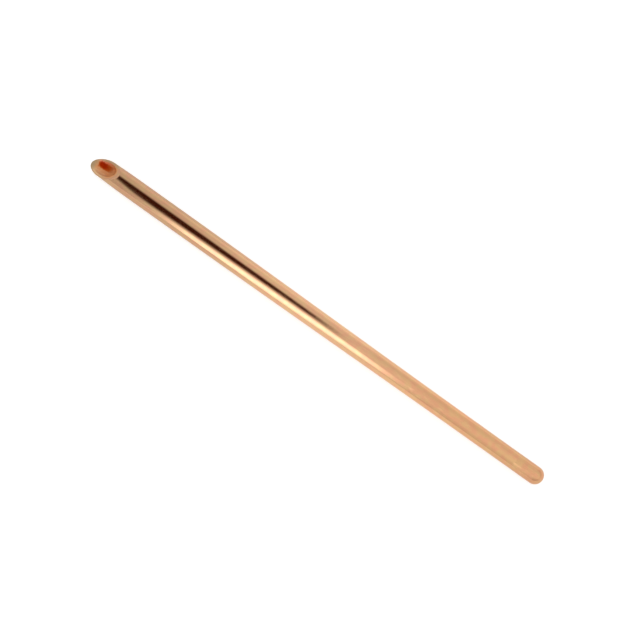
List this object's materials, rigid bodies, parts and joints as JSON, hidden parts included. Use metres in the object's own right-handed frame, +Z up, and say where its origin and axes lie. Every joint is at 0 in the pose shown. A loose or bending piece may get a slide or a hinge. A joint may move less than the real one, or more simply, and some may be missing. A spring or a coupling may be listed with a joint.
{
  "type": "garden dibber",
  "caption": "Slim hand dibber of polished copper tube, with a slanted open scoop mouth at one end and a solid round nose at the other.",
  "frame": {"origin": "under the middle of the tool's length, on the surface that it lies on", "axes": "+X along the tool from the scoop to the round nose, +Z up, with the scoop's mouth facing +Z and -X"},
  "size_m": [0.25, 0.01, 0.01],
  "materials": {
    "copper_tube": "polished copper with fine lengthwise brushing and light tarnish",
    "copper_nose": "satin copper, slightly rubbed",
    "brazing_alloy": "dressed flush copper brazing alloy",
    "copper_cup": "pressed copper sheet, lightly tarnished"
  },
  "bodies": {
    "root": {"tube_body": "copper_tube", "nose_plug": "copper_nose", "braze_ring": "brazing_alloy", "bore_stopper": "copper_cup"}
  },
  "joints": []
}
